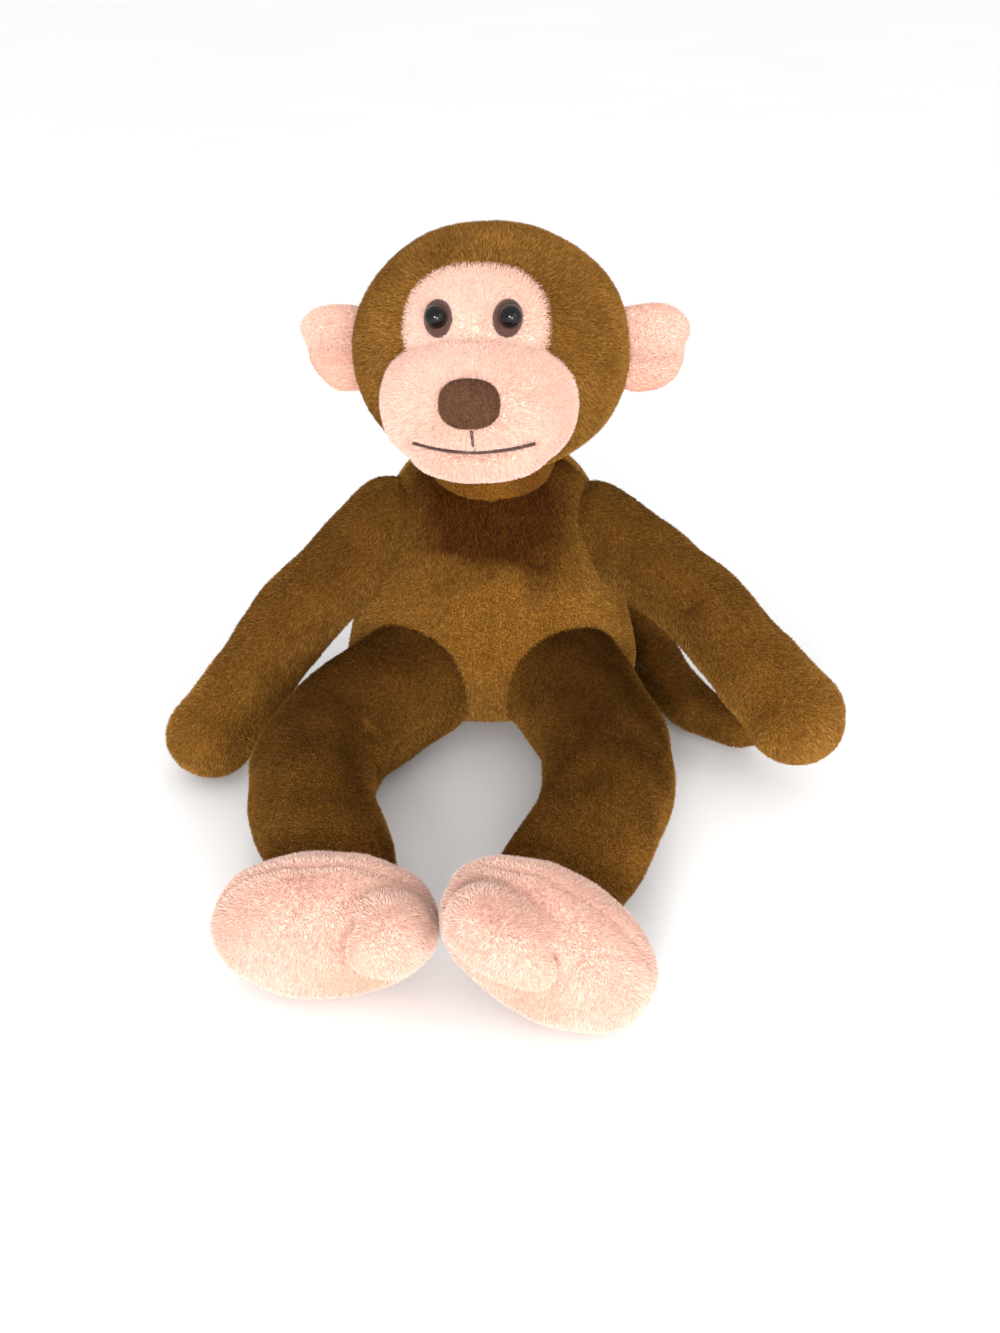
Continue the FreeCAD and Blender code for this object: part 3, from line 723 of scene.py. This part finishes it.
brush(torso, DOWN, torso_nap_and_shade)
dress(torso, BROWN_GROUND)
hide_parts("torso_front_left_panel", "torso_front_right_panel", "torso_back_left_panel",
            "torso_back_right_panel", "torso_stuffing_left", "torso_stuffing_right", "torso_pellet_bag")
pile(torso, BROWN_TUFTS, seed=1, **BROWN_PILE)
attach(torso, "torso")
print("torso:", len(torso.data.vertices), "points")

# %% [markdown]
# ## Neck
# The real neck is only the waist where the head is sewn to the body.  It is a plain ball here, mostly hidden
# under the chin, and it shows brown cloth in the gap between head and body, more of it when the head turns.

# %% Neck
neck_point = joint_at["neck_turn"]
neck = mesh_piece("neck_skin", [oval(neck_point, (25, 24, 24), squareness=2.2)])
fuse(neck, 2.5, 3)
lumps(neck, 0.5, 12.0, 2)
# The neck, in the gap between head and body, gets mostly flat pile and a mostly dark shaded colour, a painted shade.
brush(neck, DOWN, 0.7)
dress(neck, BROWN_GROUND)
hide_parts("neck_cloth", "neck_stuffing")
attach(neck, "neck")
print("neck:", len(neck.data.vertices), "points")

# %% [markdown]
# ## Arms
# Each arm is one sewn tube, closed by a round mitt.  Two tapered sausages and a ball give its shape.  It is a single
# skin, bent between the upper arm and the forearm, so the cloth does not open at the elbow.

# %% Arms
arm_shape = {
    "left": dict(hand_r=17.2, root_drop=-5.0),
    "right": dict(hand_r=14.8, root_drop=-2.5),
}
for side, sign in SIDES:
    high = mm(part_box(f"forearm_{side}_cloth")[1])
    low = mm(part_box(f"forearm_{side}_cloth")[0])
    direction = elbow[side] - shoulder[side]
    hand_r = 17.5 if side == "left" else 16.0
    hand = np.array([high[0] - hand_r if sign > 0 else low[0] + hand_r, low[1] + hand_r, low[2] + hand_r])
    shape = arm_shape[side]
    root = shoulder[side] + np.array([-sign * 2.5, -1.0, shape["root_drop"]])
    arm = mesh_piece(f"arm_{side}_skin", [
        sausage(root, 16.8, elbow[side], 16.6, 0.94, (0, 1, 0.6)),
        sausage(elbow[side], 16.6, hand, shape["hand_r"], 0.92, (0, 1, 0.6)),
        oval(hand, (hand_r, hand_r, hand_r * 0.96))])
    fuse(arm, 2.2, 8)
    wrist = elbow[side] + (hand - elbow[side]) * 0.45
    along = (hand - shoulder[side]) / np.linalg.norm(hand - shoulder[side])
    outer = np.cross(along, (0, 1, 0.6))
    outer *= sign * -1 / np.linalg.norm(outer)
    seam = [p + outer * 16.5 for p in (shoulder[side] * 0.75 + elbow[side] * 0.25, elbow[side], wrist, hand)]
    under = [p - outer * 16.5 for p in (shoulder[side] * 0.6 + elbow[side] * 0.4, elbow[side], wrist, hand)]
    stuff(arm, [seam, under], pressure=3.0, cap=1.2)
    lumps(arm, 1.0, 13.0, 4 + sign)
    finer(arm)
    tuck(arm, seam, 1.0, 1.3)
    tuck(arm, under, 1.0, 1.3)
    inside = elbow[side] + np.array([-sign * 9, -13, 6])
    tuck(arm, [inside + np.array([-7, -2, -3]), inside + np.array([7, 2, 3])], 1.4, 2.0)
    low_points = points_of(arm)
    low_points[:, 2] = np.maximum(low_points[:, 2], 0.3)
    set_points(arm, low_points)
    # Round the hand the pile gets the lit colour, along the rest of the arm a darker, partly shaded colour: painted
    # light and shade along with the lie of the pile.
    brush(arm, tuple(along), lambda co, no, h=hand: 0.58 - 0.5 * np.exp(-(np.linalg.norm(co - h, axis=1) / 24) ** 2))
    dress(arm, BROWN_GROUND)
    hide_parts(f"upper_arm_{side}_cloth", f"upper_arm_{side}_stuffing", f"forearm_{side}_cloth",
                f"forearm_{side}_stuffing")
    pile(arm, BROWN_TUFTS, seed=10 + sign, **BROWN_PILE)
    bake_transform(arm)
    print(arm.name, len(arm.data.vertices), "points, hand at", hand.round(1))

# %% [markdown]
# ## Legs
# The legs are fatter tubes of the same cloth, bowed at the knee where the toy's weight folds them.  Each follows a
# smooth curve from hip to ankle as a short chain of sausages, because two straight lengths would leave a corner at
# the knee.  The feet are separate pink cushions sewn to their ends, so each leg stops at the ankle.

# %% Legs
root_shift = {"left": np.array([2.0, 0, 0]), "right": np.array([-7.0, 0, 0])}
knee_shift = {"left": np.array([14.0, -6.0, 0.0]), "right": np.array([-21.0, 0.0, 0.0])}
for side, sign in SIDES:
    thigh_way = (knee[side] - hip[side]) / np.linalg.norm(knee[side] - hip[side])
    root = hip[side] - thigh_way * 9 + root_shift[side]
    bulge = knee[side] + knee_shift[side]
    path = [(root, 24.5)]
    for t in (0.3, 0.55, 0.8):
        path.append(((1 - t) ** 2 * (hip[side] + root_shift[side]) + 2 * t * (1 - t) * bulge + t ** 2 * ankle[side],
                     23.6 - 3.2 * t))
    path.append((ankle[side], 19.4))
    leg = mesh_piece(f"leg_{side}_skin", [sausage(a, start_r, b, end_r, 0.96, (0, 0, 1))
                                          for (a, start_r), (b, end_r) in zip(path, path[1:])])
    fuse(leg, 2.4, 12)
    outward = np.array([sign, 0.15, 0.0])
    bow = [hip[side] + outward * 22, knee[side] + outward * 21.5, ankle[side] + outward * 19]
    inner = [hip[side] * 0.5 + knee[side] * 0.5 - outward * 20, knee[side] - outward * 20, ankle[side] - outward * 19]
    stuff(leg, [bow, inner], pressure=3.0, cap=1.5)
    lumps(leg, 1.2, 16.0, 7 + sign)
    finer(leg)
    tuck(leg, bow, 0.9, 1.4)
    tuck(leg, inner, 0.9, 1.4)
    bend = knee[side] - outward * 18
    tuck(leg, [bend + (0, 0, 16), bend + (0, 0, -4)], 1.8, 2.6)
    low_points = points_of(leg)
    low_points[:, 2] = np.maximum(low_points[:, 2], 0.3)
    set_points(leg, low_points)
    shin_way = (ankle[side] - hip[side]) / np.linalg.norm(ankle[side] - hip[side])
    # Painted shade: the thigh tops, which face up near the hip, get the dark shaded colour along with flatter pile.
    brush(leg, tuple(shin_way), lambda co, no, h=hip[side]: (0.26 + 0.5 * np.clip(no[:, 2] * 1.2, 0, 1)
          * np.exp(-(np.linalg.norm(co - h, axis=1) / 95) ** 4)))
    dress(leg, BROWN_GROUND)
    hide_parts(f"thigh_{side}_cloth", f"thigh_{side}_stuffing", f"shin_{side}_cloth", f"shin_{side}_stuffing")
    pile(leg, BROWN_TUFTS, seed=20 + sign, **BROWN_PILE)
    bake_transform(leg)
    print(leg.name, len(leg.data.vertices), "points")

# %% [markdown]
# ## Feet
# A foot is an oval pink cushion that stands up with its sole to the front.  Its big toe is a lobe of the same cloth
# that grows from the inner side and folds over the sole, as a monkey's thumb-like toe does.

# %% Feet
foot_pose = {"left": (-20, 22), "right": (0, 0)}
toe_shape = {"left": ((12.0, -15.5, 10.5), (19, 12.0, 10.5)), "right": ((19.5, -13.5, 9.0), (12.5, 12.5, 11.5))}
for side, sign in SIDES:
    yaw, roll = foot_pose[side]
    turn = Euler((0, math.radians(roll), math.radians(yaw)), "YXZ").to_matrix()
    local = lambda x, y, z: foot_middle[side] + np.array(turn @ Vector((x, y, z)))
    inner = -sign
    (toe_in, toe_front, toe_up), toe_size = toe_shape[side]
    foot = mesh_piece(f"foot_{side}_skin", [
        oval(foot_middle[side], (34.3, 18.6, 23.0), turn, 2.15),
        oval(local(inner * toe_in, toe_front, toe_up), toe_size, turn, 2.5)])
    fuse(foot, 1.8, 3)
    rim = [local(34 * math.cos(a), 0, 23 * math.sin(a)) for a in np.linspace(0, 2 * math.pi, 33)]
    wide, tall = toe_size[0], toe_size[2]
    toe_edge = [local(inner * (toe_in - wide * math.cos(a)), -19.0 + 3.0 * math.sin(a) ** 2, toe_up - tall * math.sin(a))
                for a in np.linspace(-0.7, 2.6, 15)]
    stuff(foot, [rim], pressure=2.5, cap=1.0)
    lumps(foot, 0.9, 12.0, 12 + sign)
    finer(foot)
    tuck(foot, rim, 0.9, 1.4)
    tuck(foot, toe_edge, 3.6, 2.6)
    swell(foot, local(inner * (toe_in - wide * 0.4), -18, toe_up - tall - 7), (14, 12, 8), -1.8)
    low_points = points_of(foot)
    low_points[:, 2] = np.maximum(low_points[:, 2], 0.3)
    set_points(foot, low_points)
    # Painted shade in the recess under the big toe: the dark shaded pink there, along with flatter pile.
    shaded_hollow = local(inner * (toe_in - wide * 0.7), -18, toe_up - tall - 4)
    brush(foot, (0, 0, -1), lambda co, no, h=shaded_hollow: 0.1 + 0.95 * np.exp(-(np.linalg.norm(co - h, axis=1) / 15) ** 2))
    dress(foot, PINK_GROUND)
    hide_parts(f"foot_{side}_sole_panel", f"foot_{side}_upper_panel", f"foot_{side}_pellets", f"big_toe_{side}")
    pile(foot, PINK_TUFTS, seed=30 + sign, **PINK_PILE)
    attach(foot, f"foot_{side}")
    print(foot.name, len(foot.data.vertices), "points")

# %% [markdown]
# ## Tail
# The tail is a thin tube that leaves the seat at the back, comes round the toy's left side and lies on the floor.

# %% Tail
def round_hips(angle, reach, height, radius):
    """A point of the tail's line round the left half of the seat."""
    turn = math.radians(angle)
    return (14 + reach * math.cos(turn), 2 + reach * math.sin(turn), height, radius)


tail_line = [round_hips(*turn) for turn in (
    (90, 46.4, 13, 11.3), (78.9, 54.3, 12.4, 11.2), (66, 54.6, 12.2, 11.1), (53.3, 54.6, 12, 11.0), (39, 54.4, 11.8, 10.9),
    (24.2, 54.4, 11.6, 10.8), (10, 54.6, 11.4, 10.7), (-3.1, 55.1, 11.3, 10.6), (-22.2, 71.2, 10.5, 9.8),
    (-26, 90.4, 9, 8.1), (-26.3, 97.5, 8.4, 5.0))]
tail = mesh_piece("tail_skin", [sausage(a[:3], a[3], b[:3], b[3], 0.9, (0, 0, 1)) for a, b in zip(tail_line, tail_line[1:])])
fuse(tail, 2.0, 14)
lumps(tail, 0.7, 12.0, 15)
finer(tail)
tuck(tail, [(x, y, z + r * 0.95) for x, y, z, r in tail_line], 0.7, 1.2)
low_points = points_of(tail)
low_points[:, 2] = np.maximum(low_points[:, 2], 0.3)
set_points(tail, low_points)
brush(tail, (0.5, -1, 0), 0.45)
dress(tail, BROWN_GROUND)
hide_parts("tail_cloth", "tail_stuffing")
pile(tail, BROWN_TUFTS, seed=40, **BROWN_PILE)
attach(tail, "tail")
print("tail:", len(tail.data.vertices), "points")

# %% [markdown]
# ## Head
# The head is a round bag of two panels.  The seam between them runs over the crown and carries the ears.  Everything
# on the face is laid out in the head's own upright frame and then turned with the head, so the features stay square
# to each other.

# %% Head
def on(x, y, z):
    """A point in the head's own frame as a point of the toy, in millimetres."""
    return head_middle + np.array(HEAD_TURN @ Vector((x, y, z)))


head_size = (head_r + 2.2, head_r - 0.6, head_r - 3.4)
head = mesh_piece("head_skin", [oval(head_middle, head_size, HEAD_TURN, 2.08)])
fuse(head, 2.4, 4)
ear_seam = [on((head_r + 1.8) * math.cos(a), 7, (head_r - 2.8) * math.sin(a)) for a in np.linspace(-0.9, math.pi + 0.9, 33)]
nape = [on(0, (head_r - 3.2) * math.cos(a), (head_r - 2.8) * math.sin(a)) for a in np.linspace(-0.8, 1.35, 17)]
stuff(head, [ear_seam, nape], pressure=3.0, cap=1.2)
lumps(head, 0.8, 24.0, 18)
finer(head)
tuck(head, ear_seam, 1.2, 1.6)
tuck(head, nape, 0.9, 1.5)
# The side of the head that faces the toy's right gets a little more painted shade.
brush(head, lambda co: co - on(0, -40, 20), lambda co, no: 0.42 + 0.1 * (no[:, 0] < -0.2))
dress(head, BROWN_GROUND)
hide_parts("head_front_panel", "head_back_panel", "head_stuffing")
pile(head, BROWN_TUFTS, seed=50, **BROWN_PILE)
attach(head, "head")
print("head:", len(head.data.vertices), "points")

# %% [markdown]
# ## Muzzle and chin
# The muzzle is a plump pink cushion.  Its lower edge is a separate strip, the chin, and the smile is stitched in the
# valley between the two.

# %% Muzzle
MUZZLE = np.array([0.0, -35.5, -14.0])
muzzle = mesh_piece("muzzle_skin", [
    oval(on(*MUZZLE), (34, 25.5, 24.5), HEAD_TURN, 2.25),
    oval(on(0, -36, -31), (24, 21, 9.5), HEAD_TURN, 2.1)])
fuse(muzzle, 1.8, 6)
smile_shape = [(x, -28.2 + 0.006 * x * x) for x in np.linspace(-21, 21, 15)]


def laid_on(target, x, z, out=0.0):
    """The point on the front of a skin at x and z of the head's frame, and the way out of the cloth there."""
    start, way = Vector(on(x, -90, z) * MM), HEAD_TURN @ Vector((0, 1, 0))
    hit, place, normal, _ = target.ray_cast(start, way)
    if not hit:
        return on(x, -head_r, z), np.array(HEAD_TURN @ Vector((0, -1, 0)))
    return mm(place) + np.array(normal) * out, np.array(normal)


smile = [laid_on(muzzle, x, z)[0] for x, z in smile_shape]
stuff(muzzle, [smile], pressure=2.5, cap=1.0)
lumps(muzzle, 0.5, 11.0, 21)
finer(muzzle)
tuck(muzzle, smile, 3.2, 2.3)
brush(muzzle, lambda co: co - on(0, -60, -11), 0.2)
dress(muzzle, PINK_GROUND)
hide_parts("muzzle_panel", "chin_panel", "muzzle_stuffing")
pile(muzzle, PINK_TUFTS, seed=60, **PINK_PILE)
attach(muzzle, "head")
print("muzzle:", len(muzzle.data.vertices), "points")

# %% [markdown]
# ## Face mask
# The mask is a flat pink panel sewn onto the head, so it follows the head's round front and only its edge stands up.
# It could be cut out of the head's own mesh, but a thin padded patch laid on the head keeps a crisp sewn outline.
# Every point of the patch is dropped straight onto the skin under it and then lifted by the thickness of the cloth.

# %% Face mask
def mask_edge(angle):
    """Reach of the mask's outline from its middle, in millimetres, at an angle from the viewer's right."""
    c, s = math.cos(angle), math.sin(angle)
    wide = 25.8 if s > 0 else 25.8 - 3.5 * abs(s)
    tall = 22.5 if s > 0 else 26.0
    n = 2.5
    return 1 / ((abs(c) / wide) ** n + (abs(s) / tall) ** n) ** (1 / n)


def patch(target, centre_x, centre_z, reach, height, base=-0.4, rings=16, around=72, edge=5):
    """A closed padded patch laid on a skin: an upper sheet that rolls down to a lower one at its edge."""
    upper, lower, faces = [], [], []
    for r in range(rings + 1):
        share = (r / rings) ** 0.8
        for i in range(around):
            angle = 2 * math.pi * i / around
            x = centre_x + reach(angle) * share * math.cos(angle)
            z = centre_z + reach(angle) * share * math.sin(angle)
            place, normal = laid_on(target, x, z)
            upper.append(place + normal * (base + (height - base) * (1 - share ** edge) ** 0.5))
            lower.append(place + normal * (base - 0.15))
    count = len(upper)
    for r in range(rings):
        a = r * around
        for i in range(around):
            j = (i + 1) % around
            faces.append([a + i, a + around + i, a + around + j, a + j])
            faces.append([count + a + i, count + a + j, count + a + around + j, count + a + around + i])
    rim = rings * around
    faces += [[rim + i, count + rim + i, count + rim + (i + 1) % around, rim + (i + 1) % around] for i in range(around)]
    return np.array(upper + lower), faces


mask = mesh_piece("face_mask", [patch(head, 0, 10.5, mask_edge, 1.5)])
bm = bmesh.new()
bm.from_mesh(mask.data)
bmesh.ops.remove_doubles(bm, verts=bm.verts, dist=2e-5)
bmesh.ops.recalc_face_normals(bm, faces=bm.faces)
bm.to_mesh(mask.data)
bm.free()
finer(mask)
brush(mask, lambda co: co - on(0, -45, 12), 0.25)
dress(mask, PINK_GROUND)
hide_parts("face_panel")
pile(mask, PINK_TUFTS, seed=70, per_mm2=5.0, length=1.0, width=0.32)
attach(mask, "head")
print("mask:", len(mask.data.vertices), "points")

# %% [markdown]
# ## Eye ovals
# Each bead sits on an oval of brown felt.  The ovals are the same kind of patch, laid on the mask instead of the head.

# %% Eye ovals
for side, sign in SIDES:
    ring = mesh_piece(f"eye_felt_{side}", [patch(mask, sign * 11.8 - 0.4, 15.4, lambda a: 1 / math.hypot(
        math.cos(a) / 5.1, math.sin(a) / 6.3), 1.7, base=0.2, rings=8, around=40, edge=8)])
    finer(ring)
    dress(ring, FELT)
    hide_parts(f"eye_ring_{side}")
    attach(ring, "head")
print("eye ovals done")

# %% [markdown]
# ## Nose
# The nose is a flocked button.  A thick patch with a round shoulder gives its pillow shape, and a very short pile
# gives its fuzz.

# %% Nose
nose = mesh_piece("nose_skin", [patch(muzzle, 0, -11.0, lambda a: 1 / ((abs(math.cos(a)) / 10.4) ** 2.5 + (
    abs(math.sin(a)) / 8.1) ** 2.5) ** 0.4, 4.6, base=-0.5, rings=12, around=56, edge=3)])
finer(nose)
brush(nose, lambda co: co - on(0, -62, -8), 0.5)
dress(nose, NOSE_GROUND)
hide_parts("nose")
pile(nose, NOSE_TUFTS, seed=80, per_mm2=9.0, length=0.6, width=0.22)
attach(nose, "head")
print("nose done")

# %% [markdown]
# ## Smile
# The mouth is one thread laid in the valley over the chin, with a short upright stitch below the nose.  A curve with
# a round bevel makes a thread directly, and laying its points on the finished muzzle keeps it on the cloth.

# %% Smile
def cord_mesh(name, line, radius):
    """A closed round thread along a line of points in millimetres."""
    curve = bpy.data.curves.new(name, "CURVE")
    curve.dimensions = "3D"
    curve.bevel_depth = radius * MM
    curve.use_fill_caps = True
    spline = curve.splines.new("NURBS")
    spline.points.add(len(line) - 1)
    for point, place in zip(spline.points, line):
        point.co = (*(np.array(place) * MM), 1)
    spline.order_u = 3
    spline.use_endpoint_u = True
    return curve


def thread_piece(name, lines, radius):
    made = []
    for index, line in enumerate(lines):
        curve = bpy.data.objects.new(f"{name}_{index}", cord_mesh(f"{name}_{index}", line, radius))
        scene.collection.objects.link(curve)
        bpy.context.view_layer.update()
        mesh = bpy.data.meshes.new_from_object(curve.evaluated_get(bpy.context.evaluated_depsgraph_get()))
        bpy.data.objects.remove(curve)
        made.append(mesh)
    bm = bmesh.new()
    for mesh in made:
        bm.from_mesh(mesh)
        bpy.data.meshes.remove(mesh)
    whole = bpy.data.meshes.new(name)
    bm.to_mesh(whole)
    bm.free()
    piece = bpy.data.objects.new(name, whole)
    scene.collection.objects.link(piece)
    for polygon in whole.polygons:
        polygon.use_smooth = True
    return piece


smile_line = [laid_on(muzzle, x, z, 0.35)[0] for x, z in smile_shape]
stitch_line = [laid_on(muzzle, 0.6 + 0.1 * i, -19.6 - i * 1.8, 0.3)[0] for i in range(5)]
smile_piece = thread_piece("smile", [smile_line, stitch_line], 0.58)
dress(smile_piece, MOUTH_THREAD)
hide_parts("mouth_thread")
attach(smile_piece, "head")
print("smile done")

# %% [markdown]
# ## Ears
# An ear is two thin panels sewn back to back.  It is sewn to the head with a pinch, so it has a fold across its middle.

# %% Ears
for side, sign in SIDES:
    tilt_up = HEAD_TURN @ Euler((math.radians(10), math.radians(sign * -4), 0)).to_matrix()
    ear = mesh_piece(f"ear_{side}_skin", [
        oval(on(sign * (head_r + 7.0), 7.5, -0.5), (16.0, 4.4, 16.0), HEAD_TURN, 2.1),
        oval(on(sign * (head_r + 8.4), 4.2, 6.4), (16.2, 4.6, 9.8), tilt_up, 2.2)])
    fuse(ear, 1.4, 5)
    lumps(ear, 0.5, 9.0, 24 + sign)
    finer(ear)
    fold = [on(sign * (head_r - 2), 2.5, -3.2), on(sign * (head_r + 10), 2.2, -3.4), on(sign * (head_r + 20), 3.5, -2.4)]
    tuck(ear, fold, 2.0, 2.0)
    # Painted shade on the lower lobe, below the fold: it gets the dark shaded pink.
    fold_height = on(0, 0, -3.5)[2]
    brush(ear, tuple(np.array(HEAD_TURN @ Vector((sign, 0, 0)))), lambda co, no: 0.2 + 0.7 * (co[:, 2] < fold_height))
    dress(ear, PINK_GROUND)
    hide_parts(f"ear_front_{side}", f"ear_back_{side}")
    pile(ear, PINK_TUFTS, seed=90 + sign, per_mm2=5.0, length=1.0, width=0.32)
    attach(ear, f"ear_{side}")
    print(ear.name, len(ear.data.vertices), "points")

# %% [markdown]
# ## Floor and light
# A pale floor and large soft lights show plush best: a low warm key from the front wakes up the sheen, and a wide sky
# fills the shadows.

# %% Floor and light
floor_mesh = bpy.data.meshes.new("floor")
floor_mesh.from_pydata([(-9, -9, 0), (9, -9, 0), (9, 9, 0), (-9, 9, 0)], [], [(0, 1, 2, 3)])
floor = bpy.data.objects.new("floor", floor_mesh)
scene.collection.objects.link(floor)
paper = Finish("paper").set(Roughness=0.9)
paper.colour(paper.ramp(paper.speckle(0.004), (0.3, (0.93, 0.93, 0.93, 1)), (0.7, (0.96, 0.96, 0.96, 1))))
dress(floor, paper.material)


def soft_light(name, place, size, watts, aim=(0, -0.05, 0.08), tint=(1, 1, 1)):
    data = bpy.data.lights.new(name, "AREA")
    data.shape, data.size, data.energy, data.color = "DISK", size, watts, tint
    light = bpy.data.objects.new(name, data)
    light.location = place
    light.rotation_euler = (Vector(aim) - Vector(place)).to_track_quat("-Z", "Y").to_euler()
    scene.collection.objects.link(light)
    return light


soft_light("key", (-0.2, -1.35, 0.5), 0.4, 13, tint=(1.0, 0.98, 0.95))
soft_light("low", (0.35, -1.3, 0.25), 0.5, 8)
soft_light("fill", (0.9, -0.8, 0.6), 0.9, 3)
world = bpy.data.worlds.new("sky")
scene.world = world
world.use_nodes = True
world.node_tree.nodes["Background"].inputs["Color"].default_value = (1, 1, 1, 1)
world.node_tree.nodes["Background"].inputs["Strength"].default_value = 1.0
scene.view_settings.view_transform = "Standard"
print("stage set")
